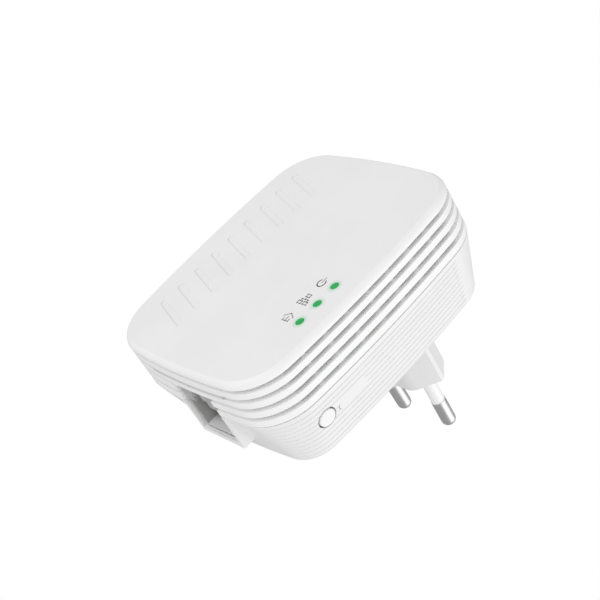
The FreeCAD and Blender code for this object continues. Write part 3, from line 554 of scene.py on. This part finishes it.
def build_cover():
    places = stations(vent_edges(), gap_edges())
    through = [in_vent(number, share) for number, share in places]
    rows, slots = cover_rows()

    def keep(row, column, after):
        return not (row in slots and through[column] and through[after])

    cover = sweep("cover_shell", rows, places, keep)
    front = FRONT_Y - OVERSHOOT
    cuts = [prism(bar_outline(index), front, FRONT_Y + BAR_DEPTH) for index in range(BAR_COUNT)]
    cuts += [rod_y(LIGHT_X, z, LIGHT_HOLE_R, front, FRONT_Y + FACE_WALL + OVERSHOOT) for z in LIGHT_Z]
    cuts.append(port_cutter())
    combine(cover, joined(cuts, "cuts"), "DIFFERENCE")
    finish_piece(cover, "front_cover", "cover")


# ---------------------------------------------------------------- rear housing
def rib_strength(index, y):
    """How deep a rib groove is at a place, from 0 to 1: it fades at its ends."""
    limit = RIB_BOTTOM_X - RIB_BOTTOM_LEAN * (y - RIB_FIRST_Y)
    ring_arcs = arcs()

    def fade(value):
        return min(1.0, max(0.0, value / RIB_FADE))

    def strength(number, share):
        x, z = outline_point(ring_arcs[number], share, draft_inset(y))
        value = fade(RIB_TOP_Z - z) * fade(abs(x) - limit)
        if index in STRIP_RIBS and x > 0 and BUTTON_Z < z < STRIP_TOP_Z:
            value = 0.0
        return value
    return strength


def rib_inset(y, strength, share_of_width):
    """Inset across a rib groove, a smooth wave from one edge of it to the other."""
    depth = RIB_DEPTH * (1 + math.cos(math.pi * share_of_width)) / 2
    return lambda number, share: draft_inset(y) + depth * strength(number, share)


def housing_rows():
    """Rows from the inside out over the locating lip, the rim and the ribs to the back."""
    start = PARTING_Y + SEAM / 2
    slope = math.degrees(math.atan(DRAFT))
    inside_y = BACK_Y - BACK_WALL
    root_y = PARTING_Y + LIP_ROOT
    lip_y = PARTING_Y - LIP_HEIGHT
    rows = [(inside_y, draft_inset(inside_y) + REAR_WALL), (root_y, draft_inset(root_y) + REAR_WALL)]
    rows += [(root_y, LIP_INSET + LIP_T), (lip_y, LIP_INSET + LIP_T)]
    rows += [(lip_y, LIP_INSET), (start, LIP_INSET)]
    edge_y = start + RIM_EDGE_R
    edge_inset = draft_inset(edge_y) + RIM_EDGE_R
    rows.append((start, edge_inset + EDGE_MARGIN))
    rows += arc_rows(edge_y, edge_inset, RIM_EDGE_R, 180, 270, LIP_STEPS)
    for index in range(RIB_COUNT):
        y = RIB_FIRST_Y + index * RIB_PITCH
        strength = rib_strength(index, y)
        for step in range(-RIB_HALF_STEPS, RIB_HALF_STEPS + 1):
            from_middle = step / RIB_HALF_STEPS
            row_y = y + from_middle * RIB_W / 2
            rows.append((row_y, rib_inset(row_y, strength, from_middle)))
    centre_y = BACK_Y - BACK_EDGE_R
    centre_inset = draft_inset(centre_y) + BACK_EDGE_R * math.hypot(1, DRAFT)
    rows += arc_rows(centre_y, centre_inset, BACK_EDGE_R, -90 + slope, 0, BACK_EDGE_STEPS)
    rows.append((BACK_Y, centre_inset + CAP_MARGIN))
    return rows


def build_housing():
    places = stations()
    housing = sweep("housing_shell", housing_rows(), places, lambda row, column, after: True)
    inside_y = BACK_Y - BACK_WALL
    start = PARTING_Y + SEAM / 2
    adds = [block(JACK_X - SHROUD_HALF_W, JACK_X + SHROUD_HALF_W, start, SHROUD_REAR_Y,
                  RIM_Z, SHROUD_INNER_Z)]
    adds += [rod_y(x, z, BOSS_R, BOSS_END_Y, inside_y + OVERSHOOT) for x, z in HOUSING_SCREWS]
    combine(housing, joined(adds, "adds"), "UNION")
    cuts = [port_cutter()]
    cuts.append(prism(plug_outline(), inside_y - OVERSHOOT, BACK_Y + OVERSHOOT))
    cuts.append(rod_x(BUTTON_Y, BUTTON_Z, BUTTON_HOLE_R, BUTTON_HOLE_START_X, HALF_W + CUTTER_REACH))
    for x, z in HOUSING_SCREWS:
        cuts.append(rod_y(x, z, COUNTERBORE_R, COUNTERBORE_Y, BACK_Y + OVERSHOOT))
        cuts.append(rod_y(x, z, SCREW_CLEAR_R, BOSS_END_Y - OVERSHOOT, COUNTERBORE_Y + OVERSHOOT))
    combine(housing, joined(cuts, "cuts"), "DIFFERENCE")
    finish_piece(housing, "rear_housing", "housing")


# ---------------------------------------------------------------- printed symbols
def arc_line(cu, cv, radius, start, end, steps=12):
    angles = [math.radians(start + (end - start) * step / steps) for step in range(steps + 1)]
    return [(cu + radius * math.cos(a), cv + radius * math.sin(a)) for a in angles]


def square_line(cu, cv, half_u, half_v):
    return [(cu - half_u, cv - half_v), (cu + half_u, cv - half_v), (cu + half_u, cv + half_v),
            (cu - half_u, cv + half_v), (cu - half_u, cv - half_v)]


def print_symbol(name, place, across, up, lines, width, ink):
    """Thin raised strokes along lines of (across, up) millimetres in a plane at place."""
    across = Vector(across).normalized()
    up = Vector(up).normalized()
    place = Vector(place)
    out = across.cross(up)
    mesh = bmesh.new()
    for line in lines:
        for (u0, v0), (u1, v1) in zip(line, line[1:]):
            start = place + across * u0 + up * v0
            end = place + across * u1 + up * v1
            along = (end - start).normalized() * width / 2
            side = out.cross(along)
            base = [start - along - side, end + along - side, end + along + side, start - along + side]
            low = [mesh.verts.new((p - out * INK_T) * MM) for p in base]
            high = [mesh.verts.new((p + out * INK_T) * MM) for p in base]
            mesh.faces.new(low)
            mesh.faces.new(high)
            for i in range(4):
                j = (i + 1) % 4
                mesh.faces.new((low[i], low[j], high[j], high[i]))
    bmesh.ops.recalc_face_normals(mesh, faces=mesh.faces)
    symbol = as_object(mesh, name)
    symbol.data.materials.append(materials[ink])
    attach(symbol, "adapter")


def side_x(y, z):
    """X of the housing's right side."""
    outline_x = HALF_W - SIDE_BOW_R + math.sqrt(SIDE_BOW_R ** 2 - (z - CENTRE_Z) ** 2)
    return outline_x - draft_inset(y)


def print_face_symbols():
    """Power, network and home beside the three lights, in millimetres from each symbol's middle."""
    power = [arc_line(0, 0, 1.15, 128, 412, 20), [(0, 0.1), (0, 1.7)]]
    network = [square_line(u, v, 0.62, 0.42) for u, v in ((0, 1.3), (-0.97, -0.97), (0.97, -0.97))]
    network += [[(0, 0.88), (0, 0.1)], [(-1.3, 0.1), (1.3, 0.1)]]
    network += [[(u, 0.1), (u, -0.55)] for u in (-0.97, 0.97)]
    home = [[(-1.65, 0.35), (0, 1.4), (1.65, 0.35)], [(-0.95, -0.95), (0.95, -0.95)],
            [(-0.95, -0.95), (-0.95, -0.2)], [(0, -0.95), (0, 0.35)], [(0.95, -0.95), (0.95, -0.2)]]
    symbols = [("power", -16.5, power), ("network", -22.2, network), ("home", -28.2, home)]
    for name, centre_z, lines in symbols:
        place = (ICON_X, FRONT_Y, centre_z)
        print_symbol("symbol_" + name, place, (1, 0, 0), (0, 0, 1), lines, INK_W, "ink")


def print_pairing_symbol():
    """Mark above the button, on the sloping side of the housing."""
    lines = [arc_line(0, 0.75, 1.15, 220, 320, 8)]
    lines += [[(u, -0.55), (u, -1.0)] for u in (-0.55, 0.55)]
    place = (side_x(PAIRING_Y, PAIRING_Z), PAIRING_Y, PAIRING_Z)
    print_symbol("symbol_pairing", place, (-DRAFT, 1, 0), (0.05, 0, 1), lines, PAIRING_W, "pale_ink")


def print_cable_symbol():
    """Two arrowheads and three dashes on the bottom end, in front of the network port."""
    lines = [[(u, 0.55), (tip, 0), (u, -0.55)] for u, tip in ((-1.3, -1.9), (1.3, 1.9))]
    lines += [[(u, 0), (u + 0.2, 0)] for u in (-0.7, -0.1, 0.5)]
    place = (CABLE_X, CABLE_Y, CENTRE_Z - HALF_H)
    print_symbol("symbol_cable", place, (1, 0, 0), (0, 1, 0), lines, CABLE_W, "pale_ink")


# ---------------------------------------------------------------- materials
def new_material(name):
    material = bpy.data.materials.new(name)
    material.use_nodes = True
    tree = material.node_tree
    return material, tree, tree.nodes["Principled BSDF"]


def object_noise(tree, scale, detail=2.0):
    """Noise in the piece's own coordinates, in cycles per metre."""
    place = tree.nodes.new("ShaderNodeTexCoord")
    noise = tree.nodes.new("ShaderNodeTexNoise")
    noise.inputs["Scale"].default_value = scale
    noise.inputs["Detail"].default_value = detail
    tree.links.new(place.outputs["Object"], noise.inputs["Vector"])
    return noise.outputs["Fac"]


def ramp(tree, value, low, high):
    """Spreads the middle of a noise over low to high."""
    node = tree.nodes.new("ShaderNodeMapRange")
    node.inputs["From Min"].default_value = NOISE_LOW
    node.inputs["From Max"].default_value = NOISE_HIGH
    node.inputs["To Min"].default_value = low
    node.inputs["To Max"].default_value = high
    tree.links.new(value, node.inputs["Value"])
    return node.outputs["Result"]


def blend_colours(tree, factor, low, high):
    """Colour that goes from low to high; each is a colour or another node's output."""
    mix = tree.nodes.new("ShaderNodeMix")
    mix.data_type = "RGBA"
    for socket, colour in (("A", low), ("B", high)):
        if isinstance(colour, tuple):
            mix.inputs[socket].default_value = (*colour, 1)
        else:
            tree.links.new(colour, mix.inputs[socket])
    tree.links.new(factor, mix.inputs["Factor"])
    return mix.outputs["Result"]


def smooth_step(tree, value, start, end):
    """0 at start and 1 at end, both in millimetres along a coordinate."""
    node = tree.nodes.new("ShaderNodeMapRange")
    node.interpolation_type = "SMOOTHSTEP"
    node.inputs["From Min"].default_value = start * MM
    node.inputs["From Max"].default_value = end * MM
    tree.links.new(value, node.inputs["Value"])
    return node.outputs["Result"]


def scaled(colour, factor):
    return tuple(min(1.0, channel * factor) for channel in colour)


def drifting(tree, colour, spread, scale):
    """Colour that drifts a little lighter and darker over the surface."""
    drift = ramp(tree, object_noise(tree, scale), 0, 1)
    return blend_colours(tree, drift, scaled(colour, 1 - spread), scaled(colour, 1 + spread))


def grain(tree, shader, scale, height):
    """Fine surface texture as bump, its height in metres."""
    bump = tree.nodes.new("ShaderNodeBump")
    bump.inputs["Strength"].default_value = 0.5
    bump.inputs["Distance"].default_value = height
    tree.links.new(object_noise(tree, scale, 3.0), bump.inputs["Height"])
    tree.links.new(bump.outputs["Normal"], shader.inputs["Normal"])


def moulded(name, colour, roughness, grain_height=GRAIN_HEIGHT * MM, spread=COLOUR_DRIFT):
    """Moulded plastic: a slight drift in colour and gloss, and a fine spark-eroded grain."""
    material, tree, shader = new_material(name)
    tree.links.new(drifting(tree, colour, spread, DRIFT_SCALE), shader.inputs["Base Color"])
    gloss = ramp(tree, object_noise(tree, GLOSS_SCALE), roughness * 0.9, roughness * 1.1)
    tree.links.new(gloss, shader.inputs["Roughness"])
    grain(tree, shader, GRAIN_SCALE, grain_height)
    return material


def metal(name, colour, roughness, scratch_height=0.002 * MM, spread=0.03, wear=0.25):
    """Plated or rolled metal with faint handling marks; wear is how much the gloss varies."""
    material, tree, shader = new_material(name)
    shader.inputs["Metallic"].default_value = 1.0
    tree.links.new(drifting(tree, colour, spread, 400), shader.inputs["Base Color"])
    gloss = ramp(tree, object_noise(tree, 900), roughness * (1 - wear), roughness * (1 + wear))
    tree.links.new(gloss, shader.inputs["Roughness"])
    grain(tree, shader, 1800, scratch_height)
    return material


def circuit_board():
    """Green solder mask over copper that shows as slightly lighter blocks."""
    material, tree, shader = new_material("board_green")
    place = tree.nodes.new("ShaderNodeTexCoord")
    cells = tree.nodes.new("ShaderNodeTexVoronoi")
    cells.distance = "MANHATTAN"
    cells.inputs["Scale"].default_value = 320
    tree.links.new(place.outputs["Object"], cells.inputs["Vector"])
    colour = blend_colours(tree, ramp(tree, cells.outputs["Distance"], 0, 1), BOARD_DARK, BOARD_LIGHT)
    tree.links.new(colour, shader.inputs["Base Color"])
    shader.inputs["Roughness"].default_value = 0.35
    grain(tree, shader, 700, 0.01 * MM)
    return material


def wound(name, colour, pitch, metallic):
    """Turns of wire or tape as fine rings along Y."""
    material, tree, shader = new_material(name)
    place = tree.nodes.new("ShaderNodeTexCoord")
    wave = tree.nodes.new("ShaderNodeTexWave")
    wave.bands_direction = "Y"
    wave.inputs["Scale"].default_value = 0.314 / pitch
    wave.inputs["Distortion"].default_value = 0.3
    tree.links.new(place.outputs["Object"], wave.inputs["Vector"])
    turns = blend_colours(tree, wave.outputs["Fac"], scaled(colour, 0.45), colour)
    tree.links.new(turns, shader.inputs["Base Color"])
    bump = tree.nodes.new("ShaderNodeBump")
    bump.inputs["Distance"].default_value = pitch / 3
    tree.links.new(wave.outputs["Fac"], bump.inputs["Height"])
    tree.links.new(bump.outputs["Normal"], shader.inputs["Normal"])
    shader.inputs["Metallic"].default_value = metallic
    shader.inputs["Roughness"].default_value = 0.38
    return material


def jack_with_painted_light():
    """Grey moulding with painted shade that darkens it deep inside, and painted light that makes the
    mouth's rear wall nearly white.
    """
    material, tree, shader = new_material("jack_grey_painted_light")
    place = tree.nodes.new("ShaderNodeTexCoord")
    split = tree.nodes.new("ShaderNodeSeparateXYZ")
    tree.links.new(place.outputs["Object"], split.inputs["Vector"])
    # painted shade: darker the deeper inside the jack
    shade_full_z = JACK_FACE_Z + JACK_SHADE_FULL_DEPTH
    depth = smooth_step(tree, split.outputs["Z"], JACK_FACE_Z + JACK_SHADE_START_DEPTH, shade_full_z)
    # painted light: the rear wall of the mouth brighter than its side walls
    rear_start = MOUTH_REAR_Y - JACK_REAR_START
    rear = smooth_step(tree, split.outputs["Y"], rear_start, MOUTH_REAR_Y - JACK_REAR_END)
    near = blend_colours(tree, rear, JACK_COLOUR, JACK_PAINTED_LIGHT_REAR_COLOUR)
    tree.links.new(blend_colours(tree, depth, near, JACK_PAINTED_SHADE_COLOUR), shader.inputs["Base Color"])
    tree.links.new(ramp(tree, object_noise(tree, GLOSS_SCALE), *JACK_GLOSS), shader.inputs["Roughness"])
    grain(tree, shader, GRAIN_SCALE, GRAIN_HEIGHT * MM)
    return material


def lit_guide():
    """Clear guide filled with green light."""
    material, tree, shader = new_material("lit_green")
    tree.links.new(drifting(tree, (0.010, 0.25, 0.06), 0.08, 900), shader.inputs["Base Color"])
    shader.inputs["Roughness"].default_value = 0.3
    shader.inputs["Emission Color"].default_value = (0.03, 0.95, 0.22, 1)
    shader.inputs["Emission Strength"].default_value = 0.17
    return material


def calculate(tree, operation, first, second=0.0):
    """Result of a math node; each input is a number or another node's output."""
    node = tree.nodes.new("ShaderNodeMath")
    node.operation = operation
    for socket, value in zip(node.inputs, (first, second)):
        if isinstance(value, float):
            socket.default_value = value
        else:
            tree.links.new(value, socket)
    return node.outputs["Value"]


def painted_glow(tree, split):
    """Strength of the painted green glow round the three light guides, painted into the cover's colour
    where their light would leak into it.
    """
    flat = tree.nodes.new("ShaderNodeCombineXYZ")
    tree.links.new(split.outputs["X"], flat.inputs["X"])
    tree.links.new(split.outputs["Z"], flat.inputs["Z"])
    glow = 0.0
    for z in LIGHT_Z:
        distance = tree.nodes.new("ShaderNodeVectorMath")
        distance.operation = "DISTANCE"
        distance.inputs[1].default_value = (LIGHT_X * MM, 0, z * MM)
        tree.links.new(flat.outputs["Vector"], distance.inputs[0])
        outer = LIGHT_HOLE_R + PAINTED_GLOW_REACH
        near = smooth_step(tree, distance.outputs["Value"], outer, LIGHT_HOLE_R - PAINTED_GLOW_REACH / 2)
        glow = calculate(tree, "MAXIMUM", glow, near)
    return calculate(tree, "MULTIPLY", glow, PAINTED_GLOW_PEAK)


def painted_groove_shade(tree, split):
    """Painted shade: 1 inside the vent grooves at the housing's bottom end, 0 elsewhere."""
    shade = 0.0
    for y in GROOVE_Y:
        offset = calculate(tree, "SUBTRACT", split.outputs["Y"], y * MM)
        distance = calculate(tree, "ABSOLUTE", offset)
        inside = smooth_step(tree, distance, GROOVE_W / 2, GROOVE_W / 2 - SHADE_EDGE)
        shade = calculate(tree, "MAXIMUM", shade, inside)
    low = smooth_step(tree, split.outputs["Z"], SHADE_START_Z, SHADE_END_Z)
    return calculate(tree, "MULTIPLY", shade, low)


def lit_cover():
    """The cover's plastic, with a painted green glow round the light guides and painted shade in the
    bottom end's grooves.
    """
    material, tree, shader = new_material("cover_white_painted_light")
    place = tree.nodes.new("ShaderNodeTexCoord")
    split = tree.nodes.new("ShaderNodeSeparateXYZ")
    tree.links.new(place.outputs["Object"], split.inputs["Vector"])
    pale = drifting(tree, COVER_COLOUR, COLOUR_DRIFT, DRIFT_SCALE)
    # painted shade darkens the bottom end's grooves
    shaded = blend_colours(tree, painted_groove_shade(tree, split), pale, PAINTED_SHADE_COLOUR)
    # painted green glow round the light guides
    colour = blend_colours(tree, painted_glow(tree, split), shaded, PAINTED_GLOW_COLOUR)
    tree.links.new(colour, shader.inputs["Base Color"])
    tree.links.new(ramp(tree, object_noise(tree, GLOSS_SCALE), *COVER_GLOSS), shader.inputs["Roughness"])
    grain(tree, shader, GRAIN_SCALE, GRAIN_HEIGHT * MM)
    return material


materials = {
    "cover": lit_cover(),
    "housing": moulded("housing_white", (0.81, 0.81, 0.81), 0.40),
    "plug": moulded("plug_white", (0.80, 0.80, 0.80), 0.45),
    "sleeve": moulded("sleeve_white", (0.90, 0.90, 0.90), 0.35, 0.002 * MM),
    "ink": moulded("ink_grey", (0.36, 0.36, 0.36), 0.5, 0.001 * MM),
    "pale_ink": moulded("ink_pale", (0.66, 0.66, 0.66), 0.5, 0.001 * MM),
    "button": moulded("button_white", (0.86, 0.86, 0.86), 0.40),
    "pin": metal("pin_nickel", (0.80, 0.80, 0.80), 0.40, 0.0002 * MM, 0.01, 0.05),
    "steel": metal("screw_zinc", (0.62, 0.62, 0.64), 0.32),
    "tin": metal("tinned_sheet", (0.55, 0.55, 0.56), 0.38),
    "shield": metal("jack_shield", (0.92, 0.92, 0.93), 0.55),
    "bronze": metal("spring_bronze", (0.72, 0.55, 0.32), 0.28),
    "gold": metal("contact_gold", (0.90, 0.66, 0.28), 0.22),
    "aluminium": metal("sink_aluminium", (0.70, 0.70, 0.71), 0.40),
    "board": circuit_board(),
    "film": moulded("insulation_film", (0.72, 0.70, 0.62), 0.30),
    "jack": jack_with_painted_light(),
    "black": moulded("black_moulding", (0.02, 0.02, 0.02), 0.50),
    "epoxy": moulded("chip_epoxy", (0.018, 0.018, 0.020), 0.55, 0.008 * MM),
    "plunger": moulded("plunger_red", (0.35, 0.02, 0.01), 0.45),
    "led": moulded("led_package", (0.75, 0.72, 0.48), 0.35),
    "can": moulded("can_sleeve", (0.02, 0.025, 0.05), 0.22, 0.001 * MM),
    "yellow_box": moulded("film_box", (0.60, 0.42, 0.04), 0.45),
    "blue_coat": moulded("dipped_blue", (0.03, 0.10, 0.35), 0.25),
    "brown": moulded("fuse_brown", (0.08, 0.035, 0.015), 0.40),
    "ferrite": moulded("ferrite", (0.035, 0.034, 0.036), 0.60, 0.012 * MM, 0.15),
    "silicone": moulded("thermal_silicone", (0.42, 0.48, 0.56), 0.70),
    "copper": wound("copper_turns", (0.55, 0.20, 0.07), 0.35 * MM, 0.9),
    "tape": wound("yellow_tape", (0.70, 0.52, 0.05), 2.5 * MM, 0.0),
    "lit": lit_guide(),
}

LOOKS = {
    "plug": ["plug_base"],
    "sleeve": ["pin_sleeve_left", "pin_sleeve_right"],
    "button": ["pairing_button"],
    "pin": ["contact_pin_left", "contact_pin_right"],
    "steel": ["housing_screws", "board_screws"],
    "tin": ["switch_frame", "crystal"],
    "shield": ["jack_shield"],
    "bronze": ["pin_contact_springs", "switch_dome"],
    "gold": ["jack_contacts"],
    "aluminium": ["heat_sink"],
    "board": ["main_board"],
    "film": ["insulation_sheet"],
    "jack": ["jack_housing"],
    "black": ["switch_housing", "light_guide_holder", "transformer_bobbin"],
    "epoxy": ["bridge_rectifier", "power_controller", "powerline_chip", "memory_chip", "flash_chip",
              "ethernet_chip", "ethernet_transformer"],
    "plunger": ["switch_plunger"],
    "led": ["indicator_leds"],
    "can": ["bulk_capacitors", "output_capacitor"],
    "yellow_box": ["x_capacitor"],
    "blue_coat": ["y_capacitor", "varistor"],
    "brown": ["fuse"],
    "ferrite": ["choke_core", "transformer_core", "coupling_transformer"],
    "silicone": ["thermal_pad"],
    "copper": ["choke_winding"],
    "tape": ["transformer_winding"],
    "lit": ["light_guide_power", "light_guide_network", "light_guide_home"],
}


def dress_nodes():
    for look, names in LOOKS.items():
        for name in names:
            slots = nodes[name].data.materials
            slots.clear()
            slots.append(materials[look])


# ---------------------------------------------------------------- studio and camera
def add_floor():
    mesh = bpy.data.meshes.new("floor")
    half = FLOOR_SIZE / 2
    corners = [(-half, -half), (half, -half), (half, half), (-half, half)]
    mesh.from_pydata([(x, y, FLOOR_Z) for x, y in corners], [], [(0, 1, 2, 3)])
    floor = bpy.data.objects.new("floor", mesh)
    bpy.context.scene.collection.objects.link(floor)
    floor.visible_diffuse = False
    floor.visible_glossy = False
    floor.visible_shadow = False
    mesh.materials.append(moulded("floor_pale", (0.86, 0.86, 0.86), 0.6))


def add_softboxes():
    centre = (cad_low + cad_high) / 2
    for name, place, size, power in SOFTBOXES:
        data = bpy.data.lights.new(name, "AREA")
        data.size = size
        data.energy = power
        light = bpy.data.objects.new(name, data)
        light.location = place
        light.rotation_mode = "QUATERNION"
        light.rotation_quaternion = (centre - Vector(place)).to_track_quat("-Z", "Y")
        light.visible_camera = False
        bpy.context.scene.collection.objects.link(light)


def add_world():
    """White to the eye, a little dimmer as a light and much dimmer in reflections."""
    world = bpy.data.worlds.new("studio")
    world.use_nodes = True
    tree = world.node_tree
    background = tree.nodes["Background"]
    path = tree.nodes.new("ShaderNodeLightPath")
    light = tree.nodes.new("ShaderNodeMapRange")
    light.inputs["To Min"].default_value = AMBIENT
    light.inputs["To Max"].default_value = REFLECTED
    tree.links.new(path.outputs["Is Glossy Ray"], light.inputs["Value"])
    strength = tree.nodes.new("ShaderNodeMapRange")
    strength.inputs["To Max"].default_value = 1.0
    tree.links.new(light.outputs["Result"], strength.inputs["To Min"])
    tree.links.new(path.outputs["Is Camera Ray"], strength.inputs["Value"])
    tree.links.new(strength.outputs["Result"], background.inputs["Strength"])
    background.inputs["Color"].default_value = (1, 1, 1, 1)
    bpy.context.scene.world = world


def add_camera():
    data = bpy.data.cameras.new("camera")
    data.lens = LENS
    data.sensor_width = SENSOR
    data.clip_start = 0.01
    camera = bpy.data.objects.new("camera", data)
    camera.location = EYE
    camera.rotation_mode = "QUATERNION"
    roll = Quaternion((0, 0, 1), math.radians(CAMERA_ROLL))
    camera.rotation_quaternion = (AIM - EYE).to_track_quat("-Z", "Y") @ roll
    bpy.context.scene.collection.objects.link(camera)
    bpy.context.scene.camera = camera


dress_nodes()
build_cover()
build_housing()
print_face_symbols()
print_pairing_symbol()
print_cable_symbol()
add_floor()
add_softboxes()
add_world()
add_camera()
bpy.context.scene.view_settings.view_transform = "Standard"
